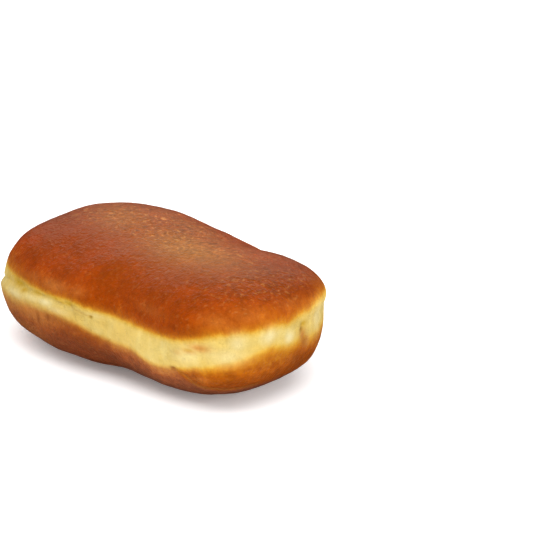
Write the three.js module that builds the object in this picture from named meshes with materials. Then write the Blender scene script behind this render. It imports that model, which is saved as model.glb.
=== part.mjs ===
// A bar doughnut: one soft pillow of yeast dough, fried on one side and then on the other.
// It is brown above and below, with a pale band round its middle where the fat never reached.
// Millimetres, +Z up. X runs along the doughnut, and it rests on z = 0 with the origin under its middle.

import * as THREE from 'three';
import { mergeVertices } from 'three/addons/utils/BufferGeometryUtils.js';

// Overall form: a rounded rectangle in plan, with one rounded profile above its girth and one below.
// A squareness of 2 is an ellipse, and a higher one comes closer to a rectangle.
const HALF_LENGTH = 60;
const HALF_WIDTH = 37.3;
const PLAN_SQUARENESS = 3.1;
const GIRTH_HEIGHT = 20.6;
const CROWN_RISE = 19.1;
const TOP_SQUARENESS = 2.7;
const BASE_SQUARENESS = 3.1;

// What the table takes off the rounded underside, which leaves the flat spot it rests on
const FLAT_CUT = 0.8;

// Unevenness of a shape cut and laid by hand: soft swells at even steps round the doughnut.
// Directions are in degrees from +X, anticlockwise from above, and amounts are in millimetres.
// The long side at -90 has a waist, and the corner at -50 is the roundest.
const RIM_SWELLS = {
  first: -170,
  step: 24,
  reach: 20,
  amounts: [-1.1, 2, 0.9, 0, -4.9, -5.6, -3.5, -1.7, -3.8, -1.7, 2.3, 2.4, -0.9, 0.5, 1],
};

// How much higher or lower the side stands out furthest
const GIRTH_SWELLS = {
  first: -165,
  step: 40,
  reach: 32,
  amounts: [0.2, 0.1, 0.7, -0.4, 3, 4.6, 1.2, -0.5, -1],
};

// How much squarer the profile above the girth is, and the one below it
const TOP_SWELLS = {
  first: -165,
  step: 40,
  reach: 32,
  amounts: [0, -0.2, 0, 0, 0.1, -0.2, -0.8, 0.4, 0.4],
};
const BASE_SWELLS = {
  first: -165,
  step: 40,
  reach: 32,
  amounts: [-0.1, 0.1, -0.2, -0.3, 0.4, -0.2, 0, 0, 0],
};

// How far the upper half leans out over the lower half
const SHOULDER_SWELLS = {
  first: -160,
  step: 45,
  reach: 35,
  amounts: [-0.6, -0.4, 0, -0.3, 1.2, -0.2, 0.5, -0.6],
};
const SHOULDER_RISE = 0.35;

// Shares of the crown's rise for each term of the plan position: it falls towards +X,
// keeps full ends and rounds off to the sides
const CROWN_TERMS = { x: -0.1, xx: 0.19, yy: -0.19 };

// A crease in the pale band of one long side, under which the lower half stands out as a ledge.
// It rises from the -X end, runs level along the side and drops towards the waist.
const CREASE = {
  from: -178,
  to: -84,
  fade: 14,
  startHeight: 19.3,
  rises: { from: -152, to: -130, by: 3.5 },
  drops: { from: -112, to: -84, by: 3 },
  depth: 0.7,
  halfWidth: 1.8,
  ledgeAtStart: 1.4,
  ledgeAtEnd: 0.3,
  ledgeReach: 11,
};

// A dimple in the lower crust at the roundest corner
const DIMPLE = { angle: -33, height: 10.5, spread: 3.5, depth: 0.7 };

// Low waves of the fried skin: wavelength, heading in plan, steepness up the side, height and phase
const WAVES = [
  { length: 46, heading: 20, climb: 0.6, height: 0.2, phase: 0.4 },
  { length: 33, heading: 105, climb: -0.5, height: 0.2, phase: 2.1 },
  { length: 27, heading: 65, climb: 0.9, height: 0.15, phase: 4.4 },
  { length: 21, heading: -35, climb: -0.8, height: 0.1, phase: 1.2 },
];

// Faces along the length, the width and the height
const FACES = { length: 40, width: 26, height: 20 };

const TURN = 360;
const radians = THREE.MathUtils.degToRad;
const degrees = THREE.MathUtils.radToDeg;

// Smallest turn from one direction to another, in degrees either way
function turnBetween(from, to) {
  return THREE.MathUtils.euclideanModulo(to - from + TURN / 2, TURN) - TURN / 2;
}

// Sum of a ring's swells in one direction
function swell(ring, angle) {
  return ring.amounts.reduce((sum, amount, i) => {
    const away = turnBetween(ring.first + i * ring.step, angle) / ring.reach;
    return sum + amount * Math.exp(-away * away);
  }, 0);
}

// Distance from the middle to the rim in plan
function rimRadius(angle) {
  const along = Math.abs(Math.cos(radians(angle)) / HALF_LENGTH) ** PLAN_SQUARENESS;
  const across = Math.abs(Math.sin(radians(angle)) / HALF_WIDTH) ** PLAN_SQUARENESS;
  return (along + across) ** (-1 / PLAN_SQUARENESS) + swell(RIM_SWELLS, angle);
}

// Share of the crown's rise over one place in plan
function crownShare(x, y) {
  const u = x / HALF_LENGTH;
  const v = y / HALF_WIDTH;
  return 1 + CROWN_TERMS.x * u + CROWN_TERMS.xx * u * u + CROWN_TERMS.yy * v * v;
}

// How far the crease and its ledge move the skin outwards
function creaseRelief(angle, height) {
  const starts = THREE.MathUtils.smoothstep(angle, CREASE.from, CREASE.from + CREASE.fade);
  const ends = 1 - THREE.MathUtils.smoothstep(angle, CREASE.to - CREASE.fade, CREASE.to);
  const risen = CREASE.rises.by * THREE.MathUtils.smoothstep(angle, CREASE.rises.from, CREASE.rises.to);
  const dropped = CREASE.drops.by * THREE.MathUtils.smoothstep(angle, CREASE.drops.from, CREASE.drops.to);
  const middle = CREASE.startHeight + risen - dropped;
  const away = (height - middle) / CREASE.halfWidth;
  const groove = -CREASE.depth * Math.exp(-away * away);
  const below = Math.max(middle - height, 0);
  const stands = THREE.MathUtils.smoothstep(below, 0, CREASE.halfWidth);
  const along = THREE.MathUtils.smoothstep(angle, CREASE.from, CREASE.to);
  const standsOut = THREE.MathUtils.lerp(CREASE.ledgeAtStart, CREASE.ledgeAtEnd, along);
  const ledge = standsOut * stands * Math.exp(-((below / CREASE.ledgeReach) ** 2));
  return starts * ends * (groove + ledge);
}

// How far the dimple moves the skin, by its distance along the side and up it
function dimpleRelief(angle, height) {
  const along = radians(turnBetween(DIMPLE.angle, angle)) * rimRadius(DIMPLE.angle);
  const away = Math.hypot(along, height - DIMPLE.height) / DIMPLE.spread;
  return -DIMPLE.depth * Math.exp(-away * away);
}

// How far the waves move the skin, calm where it rests on the table
function waveRelief(point) {
  const sum = WAVES.reduce((total, wave) => {
    const run = point.x * Math.cos(radians(wave.heading)) + point.y * Math.sin(radians(wave.heading));
    const travelled = (2 * Math.PI * (run + point.z * wave.climb)) / wave.length;
    return total + wave.height * Math.sin(travelled + wave.phase);
  }, 0);
  return sum * THREE.MathUtils.smoothstep(point.z, 0, GIRTH_HEIGHT / 2);
}

// Point of the skin in a direction whose x and y are in millimetres and whose z runs from -1 to 1
function skinPoint(direction) {
  const angle = degrees(Math.atan2(direction.y, direction.x));
  const rim = rimRadius(angle);
  const above = direction.z > 0;
  const squareness = above
    ? TOP_SQUARENESS + swell(TOP_SWELLS, angle)
    : BASE_SQUARENESS + swell(BASE_SWELLS, angle);
  const across = Math.hypot(direction.x, direction.y) / rim;
  const up = Math.abs(direction.z);
  const reach = (across ** squareness + up ** squareness) ** (1 / squareness);
  const out = across / reach;
  const rise = up / reach;

  const lean = above ? 1 - (1 - Math.min(rise / SHOULDER_RISE, 1)) ** 2 : 0;
  const radius = rim * out + swell(SHOULDER_SWELLS, angle) * lean * out ** 2;
  const x = radius * Math.cos(radians(angle));
  const y = radius * Math.sin(radians(angle));
  const girth = GIRTH_HEIGHT + swell(GIRTH_SWELLS, angle) * out ** 2;
  const height = above ? girth + CROWN_RISE * crownShare(x, y) * rise : girth * (1 - rise);
  const point = new THREE.Vector3(x, y, height - FLAT_CUT);

  // Relief goes outwards along the profile's own normal
  const sideways = out ** (squareness - 1);
  const upwards = rise ** (squareness - 1) * (above ? 1 : -1);
  const outwards = new THREE.Vector3(sideways * direction.x, sideways * direction.y, 0);
  outwards.setLength(sideways).setZ(upwards).normalize();
  const relief = creaseRelief(angle, point.z) + dimpleRelief(angle, point.z) + waveRelief(point);
  point.addScaledVector(outwards, relief);
  point.z = Math.max(point.z, 0);
  return point;
}

// A box's faces moved out to the skin, with the middle of the result over the origin
function doughGeometry() {
  const box = new THREE.BoxGeometry(2, 2, 2, FACES.length, FACES.width, FACES.height);
  box.deleteAttribute('normal');
  box.deleteAttribute('uv');
  const closed = mergeVertices(box);
  const positions = closed.getAttribute('position');
  const direction = new THREE.Vector3();
  for (let i = 0; i < positions.count; i += 1) {
    direction.fromBufferAttribute(positions, i);
    direction.x *= HALF_LENGTH;
    direction.y *= HALF_WIDTH;
    const point = skinPoint(direction);
    positions.setXYZ(i, point.x, point.y, point.z);
  }
  closed.computeBoundingBox();
  const middle = closed.boundingBox.getCenter(new THREE.Vector3());
  closed.translate(-middle.x, -middle.y, 0);
  closed.computeVertexNormals();
  return closed;
}

const crust = new THREE.MeshStandardMaterial({ color: 0xa84a18, roughness: 0.5, metalness: 0 });

const doughnut = new THREE.Mesh(doughGeometry(), crust);
doughnut.name = 'doughnut';

const part = new THREE.Group();
part.add(doughnut);

export default part;
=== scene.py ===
import math

import bpy
import numpy as np
from mathutils import Matrix, Vector, noise


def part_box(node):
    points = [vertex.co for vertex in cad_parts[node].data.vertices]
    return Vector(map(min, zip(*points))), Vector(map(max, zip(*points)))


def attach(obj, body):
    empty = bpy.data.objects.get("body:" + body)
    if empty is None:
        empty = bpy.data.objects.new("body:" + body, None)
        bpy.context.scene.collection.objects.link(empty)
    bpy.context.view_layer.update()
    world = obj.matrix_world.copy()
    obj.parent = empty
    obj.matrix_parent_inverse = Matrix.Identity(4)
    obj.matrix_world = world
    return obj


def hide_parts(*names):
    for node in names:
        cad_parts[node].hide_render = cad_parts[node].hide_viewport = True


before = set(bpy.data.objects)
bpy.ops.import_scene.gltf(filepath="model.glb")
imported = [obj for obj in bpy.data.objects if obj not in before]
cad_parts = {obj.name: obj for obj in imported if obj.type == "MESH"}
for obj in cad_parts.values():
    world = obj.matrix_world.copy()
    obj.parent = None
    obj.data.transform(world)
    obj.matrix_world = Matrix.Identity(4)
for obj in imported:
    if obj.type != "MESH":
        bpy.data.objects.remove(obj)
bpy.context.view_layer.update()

# A bar doughnut: a soft pillow of yeast dough with a brown crust above and below and a pale band
# round its middle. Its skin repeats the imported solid's form on a finer grid, with a sharper crease,
# and adds pits, a fold, a soft recess of the band and the crinkled skin.
# Form sizes are in millimetres, directions in degrees from +X, anticlockwise from above.
MM = 0.001

# Overall form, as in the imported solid
HALF_LENGTH = 60
HALF_WIDTH = 37.3
PLAN_SQUARENESS = 3.1
GIRTH_HEIGHT = 20.6
CROWN_RISE = 19.1
TOP_SQUARENESS = 2.7
BASE_SQUARENESS = 3.1
FLAT_CUT = 0.8
SHOULDER_RISE = 0.35
CROWN_TERMS = {"x": -0.1, "xx": 0.19, "yy": -0.19}


def ring(first, step, reach, amounts):
    """Soft swells at even steps round the doughnut."""
    return {"first": first, "step": step, "reach": reach, "amounts": amounts}


# Unevenness of the rim in plan, of the girth's height, of how square the profile is above the girth
# and below it, and of how far the upper half leans out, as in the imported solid
RIM_SWELLS = ring(
    -170, 24, 20, [-1.1, 2, 0.9, 0, -4.9, -5.6, -3.5, -1.7, -3.8, -1.7, 2.3, 2.4, -0.9, 0.5, 1]
)
GIRTH_SWELLS = ring(-165, 40, 32, [0.2, 0.1, 0.7, -0.4, 3, 4.6, 1.2, -0.5, -1])
TOP_SWELLS = ring(-165, 40, 32, [0, -0.2, 0, 0, 0.1, -0.2, -0.8, 0.4, 0.4])
BASE_SWELLS = ring(-165, 40, 32, [-0.1, 0.1, -0.2, -0.3, 0.4, -0.2, 0, 0, 0])
SHOULDER_SWELLS = ring(-160, 45, 35, [-0.6, -0.4, 0, -0.3, 1.2, -0.2, 0.5, -0.6])

# The crease in the pale band of one long side, and the ledge under it. The groove runs a little
# above the ledge's upper edge.
CREASE = {
    "from": -178,
    "to": -84,
    "fade": 14,
    "start_height": 19.3,
    "rises": (-152, -130, 3.5),
    "drops": (-112, -84, 3),
    "ledge_width": 1.8,
    "ledge_at_start": 1.4,
    "ledge_at_end": 0.3,
    "ledge_reach": 11,
    "depth": 0.45,
    "half_width": 0.8,
    "above_ledge": 1,
}

# A dimple in the lower crust at the roundest corner
DIMPLE = {"angle": -33, "height": 10.5, "spread": 3.5, "depth": 0.7}

# Low waves of the fried skin: wavelength, heading in plan, steepness up the side, height and phase
WAVES = [
    (46, 20, 0.6, 0.2, 0.4),
    (33, 105, -0.5, 0.2, 2.1),
    (27, 65, 0.9, 0.15, 4.4),
    (21, -35, -0.8, 0.1, 1.2),
]

# Where the pale band ends above and below: direction and height
BAND_TOP = [
    (-150, 26.2), (-130, 25.7), (-110, 25.5), (-100, 25.9), (-88, 25), (-60, 24), (-45, 24), (-36, 24.6),
    (-30, 25.9), (-24, 27.5), (-12, 28.6), (2, 28.7), (12, 29.7), (20, 30.9), (40, 29.4), (75, 26.3),
    (115, 24.8), (160, 24.8),
]
BAND_LOW = [
    (-150, 15.7), (-134, 17.4), (-117, 19.1), (-102, 19.9), (-94, 19), (-86, 17), (-72, 15.4),
    (-58, 15.2), (-44, 12.9), (-34, 14.8), (-24, 17), (-16, 18.4), (-10, 19.9), (-5, 20.8), (1, 19.2),
    (7, 19.6), (12, 18.8), (20, 19.4), (40, 18), (75, 15.5), (115, 14), (155, 13.8),
]

# How wide the golden fringes over and under the band are, as multiples of those on the long side
FRINGE_TOP = [(-150, 1.3), (-120, 1), (-50, 1), (-25, 1.2), (-5, 1.6), (20, 1.6), (60, 1.4), (120, 1.2)]
FRINGE_LOW = [
    (-150, 2.2), (-136, 1.9), (-120, 1.3), (-95, 0.85), (-60, 0.75), (-30, 0.9), (-5, 1.5), (20, 1.4),
    (60, 1.2), (120, 1.2), (170, 1.5),
]

# Painted shade of the band and the lower crust, by direction: darkest at the two ends, where the fill
# lights fall strongest
PAINTED_SHADE_BY_DIRECTION = [
    (-150, 0.79), (-130, 0.8), (-110, 0.83), (-85, 0.87), (-66, 0.91), (-50, 0.98), (-32, 0.95),
    (-15, 0.83), (0, 0.745), (20, 0.75), (60, 0.84), (120, 0.9), (170, 0.85),
]

# Faces of the skin's grid along the length, the width and the height
FACES = (196, 124, 74)


def smoothstep(value, low, high):
    """Share that rises smoothly from 0 at low to 1 at high."""
    share = np.clip((value - low) / (high - low), 0, 1)
    return share * share * (3 - 2 * share)


def turn_between(start, to):
    """Smallest turn from one direction to another, in degrees either way."""
    return (to - start + 180) % 360 - 180


def swell(swells, angle):
    """Sum of a ring's swells in each direction."""
    total = np.zeros_like(angle)
    for i, amount in enumerate(swells["amounts"]):
        away = turn_between(swells["first"] + i * swells["step"], angle) / swells["reach"]
        total += amount * np.exp(-away * away)
    return total


def rim_radius(angle):
    """Distance from the middle to the rim in plan."""
    along = np.abs(np.cos(np.radians(angle)) / HALF_LENGTH) ** PLAN_SQUARENESS
    across = np.abs(np.sin(np.radians(angle)) / HALF_WIDTH) ** PLAN_SQUARENESS
    return (along + across) ** (-1 / PLAN_SQUARENESS) + swell(RIM_SWELLS, angle)


def crown_share(x, y):
    """Share of the crown's rise over a place in plan."""
    u = x / HALF_LENGTH
    v = y / HALF_WIDTH
    return 1 + CROWN_TERMS["x"] * u + CROWN_TERMS["xx"] * u * u + CROWN_TERMS["yy"] * v * v


def crease_height(angle):
    """Height of the ledge's upper edge."""
    rise_from, rise_to, risen = CREASE["rises"]
    drop_from, drop_to, dropped = CREASE["drops"]
    height = CREASE["start_height"] + risen * smoothstep(angle, rise_from, rise_to)
    return height - dropped * smoothstep(angle, drop_from, drop_to)


def crease_share(angle):
    """1 along the crease, and 0 beyond its ends."""
    starts = smoothstep(angle, CREASE["from"], CREASE["from"] + CREASE["fade"])
    return starts * (1 - smoothstep(angle, CREASE["to"] - CREASE["fade"], CREASE["to"]))


def ledge_relief(angle, height):
    """How far the lower half stands out under the crease."""
    below = np.maximum(crease_height(angle) - height, 0)
    stands = smoothstep(below, 0, CREASE["ledge_width"])
    along = smoothstep(angle, CREASE["from"], CREASE["to"])
    stands_out = CREASE["ledge_at_start"] + along * (CREASE["ledge_at_end"] - CREASE["ledge_at_start"])
    ledge = stands_out * stands * np.exp(-((below / CREASE["ledge_reach"]) ** 2))
    return crease_share(angle) * ledge


def around(knots, angle):
    """Smooth curve round the doughnut through knots of direction and value."""
    at = np.array([knot[0] for knot in knots], float)
    value = np.array([knot[1] for knot in knots], float)
    at = np.concatenate([at[-2:] - 360, at, at[:2] + 360])
    value = np.concatenate([value[-2:], value, value[:2]])
    slope = np.gradient(value, at)
    where = np.mod(angle - at[1], 360) + at[1]
    i = np.clip(np.searchsorted(at, where, side="right") - 1, 1, len(at) - 3)
    step = at[i + 1] - at[i]
    u = (where - at[i]) / step
    rise = value[i + 1] - value[i]
    bend = slope[i] * step - rise
    bend_back = rise - slope[i + 1] * step
    return value[i] + u * rise + u * (1 - u) * ((1 - u) * bend + u * bend_back)


def spot(angle, height, place):
    """1 at a place on the side, falling off over its half length and half height."""
    at_angle, at_height, half_length, half_height = place
    middle = rim_radius(np.array([float(at_angle)]))[0]
    along = np.radians(turn_between(at_angle, angle)) * middle / half_length
    up = (height - at_height) / half_height
    return np.exp(-(along * along + up * up))


# About how far one degree goes along the side, in millimetres
MM_PER_DEGREE = 0.9


def streak(angle, height, places, width):
    """1 on a line of places on the side, each a direction and a height, falling off over its width."""
    result = np.zeros_like(angle)
    for (angle_a, height_a), (angle_b, height_b) in zip(places, places[1:]):
        along = turn_between(angle_a, angle) * MM_PER_DEGREE
        up = height - height_a
        run, climb = (angle_b - angle_a) * MM_PER_DEGREE, height_b - height_a
        share = np.clip((along * run + up * climb) / (run * run + climb * climb), 0, 1)
        away = np.hypot(along - share * run, up - share * climb) / width
        result = np.maximum(result, np.exp(-away * away))
    return result


def wave_relief(x, y, z):
    """How far the waves move the skin, calm where it rests."""
    total = np.zeros_like(x)
    for length, heading, climb, height, phase in WAVES:
        run = x * math.cos(math.radians(heading)) + y * math.sin(math.radians(heading)) + z * climb
        total += height * np.sin(2 * math.pi * run / length + phase)
    return total * smoothstep(z, 0, GIRTH_HEIGHT / 2)


# Where the six sides of the grid lie in the texture map, in faces, by axis and end
LONG, WIDE, TALL = FACES
MAP_GAP = 2
MAP_ROWS = (MAP_GAP, WIDE + 3 * MAP_GAP, WIDE + TALL + 5 * MAP_GAP)
MAP_PLACES = {
    (2, 1): (MAP_GAP, MAP_ROWS[0]),
    (2, 0): (LONG + 3 * MAP_GAP, MAP_ROWS[0]),
    (1, 0): (MAP_GAP, MAP_ROWS[1]),
    (1, 1): (LONG + 3 * MAP_GAP, MAP_ROWS[1]),
    (0, 0): (MAP_GAP, MAP_ROWS[2]),
    (0, 1): (WIDE + 3 * MAP_GAP, MAP_ROWS[2]),
}
MAP_SIZE = (2 * LONG + 4 * MAP_GAP, WIDE + 2 * TALL + 6 * MAP_GAP)


def box_grid():
    """Closed grid of quads on a box: places of its vertices, the vertices of each face, and its map."""
    count = np.array(FACES)
    corners = []
    flat = []
    for axis in range(3):
        first, second = (axis + 1) % 3, (axis + 2) % 3
        steps = np.arange(count[first]), np.arange(count[second])
        column, row = np.meshgrid(*steps, indexing="ij")
        for end in (0, 1):
            turns = ((0, 0), (1, 0), (1, 1), (0, 1)) if end else ((0, 0), (0, 1), (1, 1), (1, 0))
            quad = np.zeros((column.size, 4, 3), int)
            for corner, (right, up) in enumerate(turns):
                quad[:, corner, axis] = end * count[axis]
                quad[:, corner, first] = column.ravel() + right
                quad[:, corner, second] = row.ravel() + up
            corners.append(quad)
            map_axes = [second, first] if axis == 1 else [first, second]
            flat.append(quad[:, :, map_axes] + np.array(MAP_PLACES[axis, end]))
    corners = np.concatenate(corners)
    size = count + 1
    keys = (corners[..., 0] * size[1] + corners[..., 1]) * size[2] + corners[..., 2]
    unique, index = np.unique(keys, return_inverse=True)
    places = np.stack(
        [unique // (size[1] * size[2]), unique // size[2] % size[1], unique % size[2]], axis=1
    )
    return places, index.reshape(keys.shape), np.concatenate(flat) / np.array(MAP_SIZE)


def smooth_skin(places):
    """The form without its relief: points, the way out of the skin at each, and directions."""
    unit = 2 * places / np.array(FACES) - 1
    x, y, up = unit[:, 0] * HALF_LENGTH, unit[:, 1] * HALF_WIDTH, np.abs(unit[:, 2])
    angle = np.degrees(np.arctan2(y, x))
    above = unit[:, 2] > 0
    rim = rim_radius(angle)
    squareness = np.where(
        above,
        TOP_SQUARENESS + swell(TOP_SWELLS, angle),
        BASE_SQUARENESS + swell(BASE_SWELLS, angle),
    )
    across = np.hypot(x, y) / rim
    reach = (across**squareness + up**squareness) ** (1 / squareness)
    out, rise = across / reach, up / reach
    lean = np.where(above, 1 - (1 - np.minimum(rise / SHOULDER_RISE, 1)) ** 2, 0)
    radius = rim * out + swell(SHOULDER_SWELLS, angle) * lean * out**2
    east, north = np.cos(np.radians(angle)), np.sin(np.radians(angle))
    x, y = radius * east, radius * north
    girth = GIRTH_HEIGHT + swell(GIRTH_SWELLS, angle) * out**2
    crown = girth + CROWN_RISE * crown_share(x, y) * rise
    z = np.where(above, crown, girth * (1 - rise)) - FLAT_CUT
    sideways = out ** (squareness - 1)
    upwards = rise ** (squareness - 1) * np.where(above, 1, -1)
    outwards = np.stack([sideways * east, sideways * north, upwards], axis=1)
    outwards /= np.linalg.norm(outwards, axis=1)[:, None]
    return np.stack([x, y, z], axis=1), outwards, angle


# Pits of the crease: direction, height, half length, half height and depth
CREASE_PITS = [
    (-131, 24.0, 2.2, 1.1, 0.7),
    (-126, 23.3, 1.0, 0.7, 0.6),
    (-120.5, 23.7, 1.1, 0.6, 0.6),
    (-117.5, 23.8, 0.7, 0.5, 0.5),
    (-107, 23.6, 2.4, 0.5, 0.6),
    (-100, 24.2, 2.0, 1.0, 0.8),
    (-85.8, 22.1, 0.6, 0.5, 0.7),
]

# The hairline of the crease's far end, and the fold of the lower crust at the roundest corner:
# places as direction and height, the cut's depth and half width, and the half width of its mark,
# which is painted shade along the hairline and a golden line along the fold
CREASE_LINE = [(-99, 24.2), (-92, 23), (-85.8, 22.1)]
FOLD_LINE = [(-36.5, 14.2), (-32.6, 12.2), (-30.5, 10.2), (-27.5, 8.9), (-20, 8.4), (-8, 8.3)]
LINES = [
    {"places": CREASE_LINE, "depth": 0.2, "half_width": 0.5, "mark_width": 0.28},
    {"places": FOLD_LINE, "depth": 0.3, "half_width": 0.8, "mark_width": 0.45},
]

# Folds, pits and a soft recess elsewhere on the side, in the same terms as the crease's
SIDE_PITS = [
    (-37, 14.0, 0.9, 0.9, 0.3),
    (-30.5, 22.0, 2.2, 2.4, 0.35),
    (9, 24.0, 1.0, 2.2, 0.55),
    (9.5, 20.3, 1.2, 1.4, 0.4),
    (25.0, 24.5, 12.0, 5.0, 0.8),
    (21.5, 21.2, 4.0, 1.0, 0.35),
]


def crease_groove(angle, height):
    """Share of the crease's depth at each point of the skin."""
    away = (height - crease_height(angle) - CREASE["above_ledge"]) / CREASE["half_width"]
    return crease_share(angle) * np.exp(-away * away)


# The crinkled skin: how far its humps stand out, how large they are across, and where in the noise
# they start. It fades out below CALM_BELOW, where the dough rests.
CRINKLES = [(0.22, 9, 0), (0.06, 2.2, 40)]
CALM_BELOW = 3

# How the humps' noise falls off from one size to the next, the step between sizes and their number
CRINKLE_NOISE = (1, 2, 2)


def fractal(points, size, start):
    """Smooth noise from -1 to 1 at each point, whose largest humps are about size across."""
    first = Vector((start, 0, 0))
    return np.array([noise.fractal(Vector(point) / size + first, *CRINKLE_NOISE) for point in points])


def dough_points(places):
    """The finished skin in millimetres, with its direction and its height on the smooth form."""
    smooth, outwards, angle = smooth_skin(places)
    x, y, z = smooth.T
    relief = ledge_relief(angle, z) + wave_relief(x, y, z)
    relief -= DIMPLE["depth"] * spot(
        angle, z, (DIMPLE["angle"], DIMPLE["height"], DIMPLE["spread"], DIMPLE["spread"])
    )
    relief -= CREASE["depth"] * crease_groove(angle, z)
    for *place, depth in CREASE_PITS + SIDE_PITS:
        relief -= depth * spot(angle, z, place)
    for line in LINES:
        relief -= line["depth"] * streak(angle, z, line["places"], line["half_width"])
    raised = smoothstep(z, 0, CALM_BELOW)
    for rise, size, start in CRINKLES:
        relief += raised * rise * fractal(smooth, size, start)
    points = smooth + outwards * relief[:, None]
    points[:, 2] = np.maximum(points[:, 2], 0)
    return points, angle, z


# Golden tongues that reach into the band from above and from below, most of them at the +X end:
# direction, height of the tip, half width and strength
TOP_TONGUES = [(-20, 26, 1.5, 0.5), (-11.5, 26.5, 1.5, 0.6), (2, 25.8, 1.8, 1.1), (12, 27, 1.6, 0.7)]
LOW_TONGUES = [(-30, 17, 1.2, 0.5), (9, 22, 1.6, 1.2)]

# Heights behind a tongue's tip between which it fades in, and about how far the +X end is from the
# middle, for turning directions into widths
TONGUE_FADE = (-1.8, 2.2)
END_RADIUS = 56

# How far up the rosy lower crust reaches, by direction, and how pink it is
ROSY_TOP = [
    (-160, 30), (-60, 30), (-42, 26), (-38, 17), (-34, 11.8), (-28, 9), (-10, 8.2), (25, 8), (60, 12),
    (100, 26),
]
PINKNESS = [
    (-150, 0.5), (-125, 0.45), (-100, 0.1), (-85, 0.1), (-65, 0.6), (-48, 1), (-30, 0.8), (10, 0.6),
    (70, 0.4), (140, 0.5),
]

# Patches of the side by what they leave there: direction, height, half length, half height and
# strength
SIDE_PATCHES = {
    "olive": [
        (-133, 24, 3.2, 1.2, 1), (-140, 23.2, 2.6, 0.9, 0.5), (-128.3, 23, 1.2, 0.9, 0.95),
        (-120.7, 24, 2.4, 0.7, 0.9), (-108.5, 24.6, 2.4, 0.6, 0.85), (-104, 24.2, 1.6, 0.6, 0.8),
        (-100, 24.5, 2.4, 0.9, 0.95), (-85.8, 22.1, 0.7, 0.4, 0.9), (-31.8, 21.7, 1.4, 0.5, 0.5),
        (9.8, 24.6, 1.6, 1.1, 0.85), (8.5, 23, 0.8, 0.5, 0.7), (3.2, 19.8, 0.5, 0.5, 0.5),
    ],
    "stain": [
        (-28.5, 22.9, 3, 1.3, 0.9), (-31.6, 21.4, 2.2, 0.9, 0.6), (-35.5, 20.2, 1.4, 0.9, 0.35),
        (-21.5, 18, 1.2, 0.8, 0.3), (9, 21.2, 1.9, 2, 1), (10.6, 19, 2, 1.8, 0.9),
    ],
    "cream": [
        (-132, 20.8, 4.5, 1.1, 0.5), (-122, 21.8, 3.5, 0.9, 0.4), (-114.5, 22.3, 3, 0.9, 0.75),
        (-106, 21.3, 4.5, 0.8, 0.35), (-83, 23, 4, 0.8, 0.15), (-33, 19, 4, 3, 0.3),
        (-20, 20.5, 6, 2.6, 0.4), (-17, 24.5, 2.6, 2.6, 0.5), (-6, 25, 2.4, 2.2, 0.75),
        (2.6, 22.3, 1.8, 1.8, 0.85), (18, 24, 2.4, 4, 0.45),
    ],
    "dark": [
        (-139, 31.9, 6, 3, 0.5), (-113.7, 32.3, 5, 2.4, 0.5), (-31.8, 27.6, 6, 1.6, 0.4),
        (-62, 30, 9, 2.5, 0.3), (-117.5, 16.2, 0.8, 2, 0.6), (-111.5, 17.8, 0.8, 1.3, 0.6),
        (-122, 14.5, 0.9, 1.6, 0.3), (-95, 14, 7, 2, 0.25), (-37.3, 14.2, 1, 0.6, 0.8),
        (-20, 31, 8, 3, 0.15), (-20, 15, 2, 1, 0.3), (-18, 11, 4, 1.2, 0.3), (-5, 15.8, 6, 1.8, 0.2),
        (-2, 11.5, 3, 1.2, 0.25), (8.4, 23.1, 0.8, 0.5, 0.7), (9.8, 19, 1.4, 1.4, 0.35),
    ],
    "tan": [
        (-113, 28, 6, 1.6, 0.6), (-98, 28.5, 4, 1.6, 0.3), (-126, 28, 4, 1.4, 0.3),
        (-48, 29.5, 6, 1.5, 0.2), (-119, 17, 8, 2.4, 0.9), (-137, 15.6, 6, 2.4, 0.6),
        (-128, 9.5, 10, 4, 0.35), (-28, 12, 2.5, 1.2, 0.4), (-8, 15, 3, 1.5, 0.15),
        (4, 14.5, 2.5, 1.5, 0.2), (-22, 30.8, 5, 2, 0.3), (-12, 32, 6, 2.2, 0.3), (4, 32.5, 6, 1.6, 0.25),
    ],
    "yellow": [
        (-135, 23, 8, 1.8, 0.5), (-118, 20.3, 5, 1.3, 0.5), (-98, 21.4, 7, 2, 0.65),
        (-79, 20.6, 5, 2.6, 0.65), (-66, 19.4, 7, 3.2, 0.65), (-50, 18, 4, 3, 0.3), (14, 25, 5, 4, 0.5),
    ],
}

# Where the crinkled crust's painted sparkle is strongest: middle and half sizes in plan, turn and
# strength
PAINTED_SPARKLE_PLACES = [((-6, 8), (40, 17), 0, 1), ((-34, -2), (16, 10), 0, 0.8), ((46, 0), (14, 24), 0, 0.45)]

# A painted golden sheen over the crown, standing in for its glossy haze, and the crown's darker places,
# in the same terms
CROWN_PAINTED_SHEEN = [((12, 0), (24, 12), 0, 0.8), ((-24, 1), (18, 11), -15, 0.5), ((-2, 13), (30, 8), 0, 0.35)]
CROWN_DARKS = [((48, 14), (13, 24), 0, 0.8), ((30, 26), (22, 8), 0, 0.7), ((-44, -12), (12, 12), 0, 0.45)]


def patches(angle, height, places):
    """Strength of the strongest patch at each point."""
    return np.max([strength * spot(angle, height, place) for *place, strength in places], axis=0)


def tongues(angle, height, places, side):
    """How much further fried each point of the band is, for tongues from above (1) or below (-1)."""
    total = np.zeros_like(angle)
    for at_angle, tip, half_width, strength in places:
        along = np.radians(turn_between(at_angle, angle)) * END_RADIUS / half_width
        reach = smoothstep(side * (height - tip), *TONGUE_FADE)
        total += strength * np.exp(-along * along) * reach
    return total


def plan_patches(x, y, places):
    """Strength of the strongest patch of the crown at each point."""
    strongest = np.zeros_like(x)
    for (mid_x, mid_y), (half_x, half_y), turn, strength in places:
        east, north = math.cos(math.radians(turn)), math.sin(math.radians(turn))
        u = ((x - mid_x) * east + (y - mid_y) * north) / half_x
        v = ((y - mid_y) * east - (x - mid_x) * north) / half_y
        strongest = np.maximum(strongest, strength * np.exp(-(u * u + v * v)))
    return strongest
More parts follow.
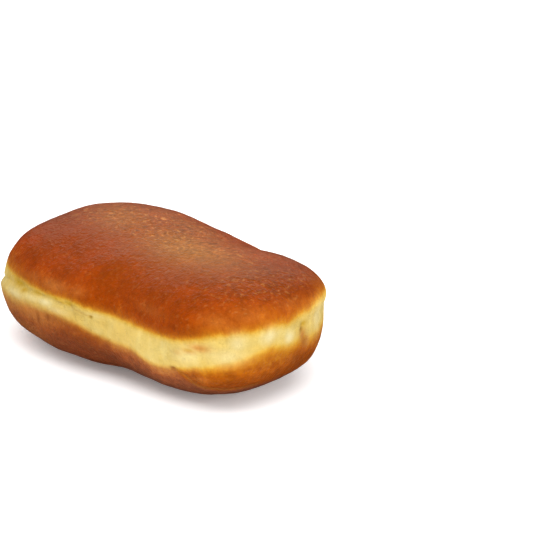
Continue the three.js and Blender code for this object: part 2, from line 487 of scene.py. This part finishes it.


# Heights between which the underside ends, the painted sparkle and the crown start, the painted shade by
# direction ends and the fringe over the band becomes even
UNDERSIDE_ENDS = (0.3, 5)
PAINTED_SPARKLE_STARTS = (25, 32)
CROWN_STARTS = (29, 34)
PAINTED_SHADE_ENDS = (25, 33)
FRINGE_EVENS = (31, 36)

# The even fringe of the crown, the underside's pinkness, and over what height the rosy crust ends
CROWN_FRINGE = 1.1
UNDERSIDE_PINKNESS = 0.4
ROSY_EDGE = (-0.5, 0.7)


def frying_and_painted_light(points, angle, height):
    """What the frying left at each point, by name, for the material, with painted shade, sparkle and
    sheen.
    """
    x, y = points[:, 0], points[:, 1]
    over = height - around(BAND_TOP, angle) + tongues(angle, height, TOP_TONGUES, 1)
    under = around(BAND_LOW, angle) - height + tongues(angle, height, LOW_TONGUES, -1)
    crown = smoothstep(height, *CROWN_STARTS)
    beneath = 1 - smoothstep(height, *UNDERSIDE_ENDS)
    # Where the painted shade by direction falls: the band and the lower crust above the underside
    lit = (1 - smoothstep(height, *PAINTED_SHADE_ENDS)) * (1 - beneath)
    fringe_top = around(FRINGE_TOP, angle)
    fringe_top += (CROWN_FRINGE - fringe_top) * smoothstep(height, *FRINGE_EVENS)
    lines = [streak(angle, height, line["places"], line["mark_width"]) for line in LINES]
    return {
        "over": over / fringe_top,
        "under": under / around(FRINGE_LOW, angle),
        # Painted shade by direction
        "light": 1 + (around(PAINTED_SHADE_BY_DIRECTION, angle) - 1) * lit,
        "rosy": smoothstep(around(ROSY_TOP, angle) - height, *ROSY_EDGE),
        "pink": around(PINKNESS, angle) * (1 - beneath) + UNDERSIDE_PINKNESS * beneath,
        **{name: patches(angle, height, places) for name, places in SIDE_PATCHES.items()},
        # Painted sparkle of the crinkled crust, on the crown and the +X shoulder
        "painted_sparkle": plan_patches(x, y, PAINTED_SPARKLE_PLACES) * smoothstep(height, *PAINTED_SPARKLE_STARTS),
        # Painted golden sheen over the crown
        "crown": crown * plan_patches(x, y, CROWN_PAINTED_SHEEN),
        "deep": crown * plan_patches(x, y, CROWN_DARKS),
        # Mark of the lines: painted shade along the crease's hairline, a golden line along the fold
        "line": np.max(lines, axis=0),
    }


def new_mesh(name, points, faces):
    """Smooth mesh of quads."""
    mesh = bpy.data.meshes.new(name)
    mesh.vertices.add(len(points))
    mesh.vertices.foreach_set("co", points.astype(np.float32).ravel())
    mesh.loops.add(faces.size)
    mesh.loops.foreach_set("vertex_index", faces.astype(np.int32).ravel())
    mesh.polygons.add(len(faces))
    mesh.polygons.foreach_set("loop_start", np.arange(0, faces.size, 4, dtype=np.int32))
    mesh.update(calc_edges=True)
    mesh.validate()
    mesh.polygons.foreach_set("use_smooth", np.ones(len(faces), bool))
    return mesh


def set_attribute(mesh, name, values):
    layer = mesh.attributes.new(name, "FLOAT", "POINT")
    layer.data.foreach_set("value", values.astype(np.float32))


def make_dough():
    """The doughnut's skin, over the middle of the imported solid."""
    places, faces, flat = box_grid()
    points, angle, height = dough_points(places)
    low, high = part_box("doughnut")
    middle = (points.min(0) + points.max(0)) / 2
    shift = np.array([(low.x + high.x) / 2 / MM - middle[0], (low.y + high.y) / 2 / MM - middle[1], 0])
    points = points + shift
    mesh = new_mesh("dough", points * MM, faces)
    layer = mesh.uv_layers.new(name="OFBake")
    layer.data.foreach_set("uv", flat.astype(np.float32).ravel())
    for name, values in frying_and_painted_light(points, angle, height).items():
        set_attribute(mesh, name, values)
    dough = bpy.data.objects.new("dough", mesh)
    bpy.context.scene.collection.objects.link(dough)
    return dough


# Colours are written as a display shows them, in 0 to 255
def linear(*shown):
    """Red, green and blue as the renderer counts light, and an alpha of 1."""
    shares = [value / 255 for value in shown]
    return [
        share / 12.92 if share <= 0.04045 else ((share + 0.055) / 1.055) ** 2.4 for share in shares
    ] + [1]


BAND = linear(206, 181, 106)

# Tones by distance from the band's edge in millimetres on the long side: over it, and under it
# where the crust is golden, brick red and pink
UPPER_TONES = [
    (-4.5, BAND), (-2, linear(205, 176, 98)), (-1.1, linear(202, 165, 76)),
    (-0.5, linear(197, 147, 50)), (-0.1, linear(186, 121, 30)), (0.4, linear(171, 96, 19)),
    (1.1, linear(158, 75, 11)), (2.1, linear(149, 62, 7)), (3.5, linear(145, 55, 4)),
    (5.5, linear(137, 49, 3)), (10, linear(126, 46, 4)),
]
GOLDEN_TONES = [
    (-4.5, BAND), (-1.2, linear(206, 173, 88)), (-0.5, linear(205, 161, 63)),
    (0.1, linear(198, 140, 40)), (0.9, linear(185, 114, 22)), (1.9, linear(172, 92, 10)),
    (3.2, linear(161, 76, 4)), (5, linear(149, 68, 4)), (8, linear(140, 61, 5)),
]
BRICK_TONES = [
    (-4.5, BAND), (-2, linear(205, 176, 100)), (-1.2, linear(204, 166, 86)),
    (-0.5, linear(199, 150, 68)), (0, linear(187, 129, 52)), (0.7, linear(171, 99, 31)),
    (1.7, linear(158, 79, 21)), (3.2, linear(148, 66, 20)), (5, linear(138, 61, 24)),
    (9, linear(125, 56, 28)),
]
PINK_TONES = [
    (-4.5, BAND), (-2, linear(205, 177, 101)), (-1.2, linear(204, 169, 88)),
    (-0.5, linear(199, 155, 76)), (0, linear(188, 138, 66)), (0.7, linear(174, 110, 52)),
    (1.7, linear(162, 92, 46)), (3.2, linear(152, 80, 42)), (5, linear(138, 72, 42)),
    (9, linear(121, 64, 41)),
]
TONE_RANGE = (-4.5, 10)

# What each kind of patch tints the skin with, in the order in which they lie over one another:
# share and colour
PATCH_TINTS = {
    "yellow": (1, linear(204, 168, 84)),
    "cream": (1, linear(220, 206, 158)),
    "stain": (1, linear(186, 124, 58)),
    "olive": (1, linear(190, 148, 38)),
    "tan": (1, linear(182, 108, 47)),
    "dark": (1, linear(116, 45, 10)),
    # crown: a painted golden sheen over the crown
    "crown": (0.75, linear(148, 99, 42)),
    "deep": (0.75, linear(98, 39, 7)),
    # line: painted shade along the crease's hairline, a golden line along the fold
    "line": (0.4, linear(150, 100, 40)),
}

# The skin's noises: how large their patches are in millimetres, their detail and roughness, and the
# share of the height that counts in them, which draws them out upwards where it is below 1
NOISES = {
    "clouds": (11, 3, 0.55, 1),
    "mottle": (3, 3, 0.6, 1),
    "grain": (1.6, 2, 0.7, 1),
    "glints": (1.3, 1, 0.5, 1),
    "folds": (5, 2, 0.6, 1),
    "brushed": (1.3, 3, 0.6, 0.3),
    "creamy": (4.5, 3, 0.5, 0.5),
    "yellow": (5.5, 3, 0.5, 0.4),
}

# By how many millimetres the noises shift the tones, everywhere and out in the crust
EDGE_SHIFTS = {"brushed": 0.8, "mottle": 1}
CRUST_SHIFTS = {"clouds": 10, "mottle": 4, "grain": 2}

# Distances from the band's edge between which the crust deepens and the band's pale patches end,
# and how much further under than over a place is where the lower crust's tones take over
CRUST_DEEPENS = (0.3, 4)
PALE_ENDS = (-2.2, -0.2)
CRUSTS_MEET = (-2, 2)

# Pale patches of the band and painted glints, light flecks on the crinkled crust: where in their
# noise they start and are whole, the share at which they cover the skin, and their colour
PALE_PATCHES = {
    "creamy": ((0.46, 0.66), 0.45, linear(217, 197, 128)),
    "yellow": ((0.5, 0.68), 0.5, linear(200, 168, 84)),
}
PAINTED_GLINTS = ((0.56, 0.76), 0.4, linear(198, 138, 76))

# How far the noises change the skin's lightness, and how far the grain and the wrinkle lines paint
# sparkle and highlights on the crinkled crust
SHADES = {"mottle": -0.4, "clouds": -0.3}
GRAIN_SPARKLE = -1.6
WRINKLE_HIGHLIGHT = 0.18
WRINKLE_WIDTH = 0.05

# How much painted sparkle the band takes against the crust, and the crust outside the sparkle's places
# against that in them, and the strength of these places from which the sparkle is whole
BAND_SPARKLE = 0.3
SMOOTH_CRUST_SPARKLE = 0.22
FULL_SPARKLE_AT = 0.8

# Roughness of the band and of the crust, how far the mottle shifts it, and strength and tint of the shine
BAND_ROUGHNESS = 0.62
CRUST_ROUGHNESS = 0.44
ROUGHNESS_SHIFT = 0.8
SHINE = 0.23
SHINE_TINT = (1, 0.88, 0, 1)

# The bump: its strength, its depth in millimetres and how much its parts count
BUMP_STRENGTH = 0.9
BUMP_DEPTH = 0.4
GRAIN_BUMP = 1.5
MOTTLE_BUMP = 0.5
WRINKLE_BUMP = 0.15


class Nodes:
    """Adds nodes to one material and links them."""

    def __init__(self, material):
        material.use_nodes = True
        self.tree = material.node_tree
        self.tree.nodes.clear()
        self.output = self.add("ShaderNodeOutputMaterial")

    def add(self, kind, **settings):
        node = self.tree.nodes.new(kind)
        for name, value in settings.items():
            setattr(node, name, value)
        return node

    def feed(self, socket, value):
        if isinstance(value, bpy.types.NodeSocket):
            self.tree.links.new(value, socket)
        else:
            socket.default_value = value

    def maths(self, operation, first, second=0.0):
        node = self.add("ShaderNodeMath", operation=operation)
        self.feed(node.inputs[0], first)
        self.feed(node.inputs[1], second)
        return node.outputs[0]

    def times(self, first, second):
        return self.maths("MULTIPLY", first, second)

    def total(self, *values):
        result = values[0]
        for value in values[1:]:
            result = self.maths("ADD", result, value)
        return result

    def around_zero(self, noise_value, amount):
        """Noise shifted to lie around 0, and scaled."""
        return self.times(self.maths("SUBTRACT", noise_value, 0.5), amount)

    def remap(self, value, low, high, new_low=0.0, new_high=1.0):
        node = self.add("ShaderNodeMapRange", interpolation_type="SMOOTHSTEP")
        for socket, given in zip(node.inputs, (value, low, high, new_low, new_high)):
            self.feed(socket, given)
        return node.outputs[0]

    def mix(self, share, first, second):
        node = self.add("ShaderNodeMix", data_type="RGBA")
        self.feed(node.inputs["Factor"], share)
        self.feed(node.inputs[6], first)
        self.feed(node.inputs[7], second)
        return node.outputs[2]

    def tones(self, distance, knots):
        """Colour at a distance from the band's edge."""
        low, high = TONE_RANGE
        node = self.add("ShaderNodeValToRGB")
        places = [((at - low) / (high - low), colour) for at, colour in knots]
        elements = node.color_ramp.elements
        elements[0].position, elements[0].color = places[0]
        elements[1].position, elements[1].color = places[-1]
        for at, colour in places[1:-1]:
            elements.new(at).color = colour
        share = self.add("ShaderNodeMapRange")
        for socket, given in zip(share.inputs, (distance, low, high, 0.0, 1.0)):
            self.feed(socket, given)
        self.feed(node.inputs[0], share.outputs[0])
        return node.outputs[0]

    def scaled(self, colour, by):
        node = self.add("ShaderNodeVectorMath", operation="SCALE")
        self.feed(node.inputs[0], colour)
        self.feed(node.inputs["Scale"], by)
        return node.outputs[0]

    def attribute(self, name):
        return self.add("ShaderNodeAttribute", attribute_name=name).outputs["Fac"]

    def place(self, height_counts):
        """Where the point is, in millimetres, with a share of its height."""
        node = self.add("ShaderNodeMapping")
        node.inputs["Scale"].default_value = (1 / MM, 1 / MM, height_counts / MM)
        self.feed(node.inputs["Vector"], self.add("ShaderNodeTexCoord").outputs["Object"])
        return node.outputs[0]

    def noise(self, size, detail, roughness, height_counts):
        """Cloudy noise, around 0.5, whose patches are about size across."""
        node = self.add("ShaderNodeTexNoise")
        self.feed(node.inputs["Vector"], self.place(height_counts))
        node.inputs["Scale"].default_value = 1 / size
        node.inputs["Detail"].default_value = detail
        node.inputs["Roughness"].default_value = roughness
        return node.outputs["Fac"]


def shifts(nodes, noises, amounts):
    """Some of the noises, each shifted to lie around 0 and scaled by its amount."""
    return [nodes.around_zero(noises[name], amount) for name, amount in amounts.items()]


def wrinkle_lines(nodes, noises):
    """1 on the thin lines where the noise of the folds crosses its middle."""
    off_middle = nodes.maths("ABSOLUTE", nodes.maths("SUBTRACT", noises["folds"], 0.5))
    return nodes.remap(off_middle, 0, WRINKLE_WIDTH, 1, 0)


def crust_colour(nodes, noises, over, under, crust):
    """Tones of the crust and the band, by distances from the band's edges made uneven."""
    feather = nodes.total(*shifts(nodes, noises, EDGE_SHIFTS))
    blotch = nodes.total(*shifts(nodes, noises, CRUST_SHIFTS))
    uneven = nodes.total(feather, nodes.times(blotch, crust))
    upper = nodes.tones(nodes.total(over, uneven), UPPER_TONES)
    deeper = nodes.total(under, uneven)
    brick = nodes.tones(deeper, BRICK_TONES)
    rosy = nodes.mix(nodes.attribute("pink"), brick, nodes.tones(deeper, PINK_TONES))
    lower = nodes.mix(nodes.attribute("rosy"), nodes.tones(deeper, GOLDEN_TONES), rosy)
    further_under = nodes.maths("SUBTRACT", under, over)
    return nodes.mix(nodes.remap(further_under, *CRUSTS_MEET), upper, lower)


def patched_colour(nodes, noises, colour, outside):
    """The colour with the band's pale patches, what the frying left on it, painted sheen and crease
    shade.
    """
    pale = nodes.maths("SUBTRACT", 1.0, nodes.remap(outside, *PALE_ENDS))
    for name, (limits, share, tint) in PALE_PATCHES.items():
        cover = nodes.times(nodes.remap(noises[name], *limits), pale)
        colour = nodes.mix(nodes.times(cover, share), colour, tint)
    for name, (share, tint) in PATCH_TINTS.items():
        colour = nodes.mix(nodes.times(nodes.attribute(name), share), colour, tint)
    return colour


def colour_with_painted_sparkle(nodes, noises, colour, crust, wrinkles):
    """The colour with painted sparkle, glints, grain and bright wrinkle lines, on the crinkled crust, and
    light clouds all over.
    """
    sparkle_by_crust = nodes.remap(crust, 0, 1, BAND_SPARKLE, 1)
    on_crown = nodes.remap(nodes.attribute("painted_sparkle"), 0, FULL_SPARKLE_AT, SMOOTH_CRUST_SPARKLE, 1)
    painted_sparkle = nodes.times(sparkle_by_crust, on_crown)
    # Painted glints as light flecks, then painted sparkle in the grain and bright wrinkle lines
    limits, share, tint = PAINTED_GLINTS
    glints = nodes.remap(noises["glints"], *limits)
    colour = nodes.mix(nodes.times(nodes.times(glints, share), painted_sparkle), colour, tint)
    shade = nodes.total(
        1.0,
        *shifts(nodes, noises, SHADES),
        nodes.times(nodes.around_zero(noises["grain"], GRAIN_SPARKLE), painted_sparkle),
        nodes.times(nodes.times(wrinkles, WRINKLE_HIGHLIGHT), painted_sparkle),
    )
    # Darkened by the painted shade by direction
    return nodes.scaled(colour, nodes.times(shade, nodes.attribute("light")))


def skin_bump(nodes, noises, wrinkles):
    """The skin's way out, made uneven by its grain and wrinkles."""
    node = nodes.add("ShaderNodeBump")
    node.inputs["Strength"].default_value = BUMP_STRENGTH
    node.inputs["Distance"].default_value = BUMP_DEPTH * MM
    height = nodes.total(
        nodes.times(noises["grain"], GRAIN_BUMP),
        nodes.times(noises["mottle"], MOTTLE_BUMP),
        nodes.times(wrinkles, WRINKLE_BUMP),
    )
    nodes.feed(node.inputs["Height"], height)
    return node.outputs[0]


def fried_dough():
    material = bpy.data.materials.new("fried_dough")
    nodes = Nodes(material)
    noises = {name: nodes.noise(*settings) for name, settings in NOISES.items()}
    wrinkles = wrinkle_lines(nodes, noises)
    over, under = nodes.attribute("over"), nodes.attribute("under")
    outside = nodes.maths("MAXIMUM", over, under)
    crust = nodes.remap(outside, *CRUST_DEEPENS)
    colour = crust_colour(nodes, noises, over, under, crust)
    colour = patched_colour(nodes, noises, colour, outside)
    colour = colour_with_painted_sparkle(nodes, noises, colour, crust, wrinkles)
    polished = nodes.total(crust, nodes.around_zero(noises["mottle"], ROUGHNESS_SHIFT))

    shader = nodes.add("ShaderNodeBsdfPrincipled")
    nodes.feed(shader.inputs["Base Color"], colour)
    nodes.feed(shader.inputs["Roughness"], nodes.remap(polished, 0, 1, BAND_ROUGHNESS, CRUST_ROUGHNESS))
    shader.inputs["Specular IOR Level"].default_value = SHINE
    shader.inputs["Specular Tint"].default_value = SHINE_TINT
    nodes.feed(shader.inputs["Normal"], skin_bump(nodes, noises, wrinkles))
    nodes.feed(nodes.output.inputs["Surface"], shader.outputs[0])
    return material


# The table: half its size in metres, how white it is and how much light it gives of its own
TABLE_HALF = 3.0
TABLE_WHITE = (0.98, 0.98, 0.98, 1)
TABLE_ROUGHNESS = 0.8
TABLE_GLOW = 0.14


def make_floor():
    """A broad white table, lit from above and a little from within."""
    mesh = bpy.data.meshes.new("floor")
    half = TABLE_HALF
    corners = [(-half, -half, 0), (half, -half, 0), (half, half, 0), (-half, half, 0)]
    mesh.from_pydata(corners, [], [(0, 1, 2, 3)])
    material = bpy.data.materials.new("white_table")
    nodes = Nodes(material)
    shader = nodes.add("ShaderNodeBsdfPrincipled")
    shader.inputs["Base Color"].default_value = TABLE_WHITE
    shader.inputs["Roughness"].default_value = TABLE_ROUGHNESS
    shader.inputs["Specular IOR Level"].default_value = 0.0
    shader.inputs["Emission Color"].default_value = (1, 1, 1, 1)
    shader.inputs["Emission Strength"].default_value = TABLE_GLOW
    nodes.feed(nodes.output.inputs["Surface"], shader.outputs[0])
    mesh.materials.append(material)
    floor = bpy.data.objects.new("floor", mesh)
    bpy.context.scene.collection.objects.link(floor)
    floor.visible_glossy = False


# The camera, at the photograph's viewing angle: places in millimetres from the part's origin
EYE = Vector((526.05, -413.42, 283.27)) * MM
AIM = Vector((-33.89, 73.31, 0.0)) * MM
SENSOR = 36
FOCAL_PIXELS = 2200
IMAGE_PIXELS = 540


def aim(thing, at, towards):
    thing.location = at
    thing.rotation_mode = "QUATERNION"
    thing.rotation_quaternion = (Vector(towards) - Vector(at)).to_track_quat("-Z", "Y")


def make_camera():
    data = bpy.data.cameras.new("camera")
    data.sensor_width = SENSOR
    data.lens = SENSOR * FOCAL_PIXELS / IMAGE_PIXELS
    data.clip_start = 0.01
    data.clip_end = 20
    camera = bpy.data.objects.new("camera", data)
    bpy.context.scene.collection.objects.link(camera)
    aim(camera, EYE, AIM)
    bpy.context.scene.camera = camera


# Area lights: how far back, right and up from the part in metres as the camera sees it, size in
# metres, power in watts, and whether the light shows in the gloss
LIGHTS = {
    "key": ((-0.13, -0.05, 0.9), (1.6, 1.2), 12.4, False),
    "right_fill": ((-0.75, 0.66, 0.38), (0.6, 0.6), 6.2, False),
    "left_fill": ((0.3, -0.88, 0.42), (0.6, 0.6), 2.4, False),
    "right_softbox": ((0.1, 0.67, 0.73), (0.7, 0.7), 0.8, True),
    "back_softbox": ((1.2, 0, 0.6), (1.2, 0.5), 3.4, True),
}
LIGHTS_AIM = (0, 0, 0.02)
ROOM_STRENGTH = 0.5


def add_light(name, at, size, power, seen_in_gloss):
    data = bpy.data.lights.new(name, "AREA")
    data.shape = "RECTANGLE"
    data.size, data.size_y = size
    data.energy = power
    light = bpy.data.objects.new(name, data)
    bpy.context.scene.collection.objects.link(light)
    aim(light, at, LIGHTS_AIM)
    light.visible_glossy = seen_in_gloss


def make_studio():
    """Soft light: a pale room, a broad key above, a fill at each end and two softboxes in the gloss."""
    world = bpy.data.worlds.new("room")
    world.use_nodes = True
    background = world.node_tree.nodes["Background"]
    background.inputs["Color"].default_value = (1, 1, 1, 1)
    background.inputs["Strength"].default_value = ROOM_STRENGTH
    world.cycles_visibility.glossy = False
    bpy.context.scene.world = world
    up = Vector((0, 0, 1))
    away = (AIM - EYE).normalized()
    right = away.cross(up).normalized()
    back = up.cross(right).normalized()
    for name, (place, size, power, seen_in_gloss) in LIGHTS.items():
        at = back * place[0] + right * place[1] + up * place[2]
        add_light(name, at, size, power, seen_in_gloss)
    bpy.context.scene.view_settings.view_transform = "Standard"


make_camera()
make_studio()
make_floor()
dough = make_dough()
dough.data.materials.append(fried_dough())
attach(dough, "root")
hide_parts("doughnut")
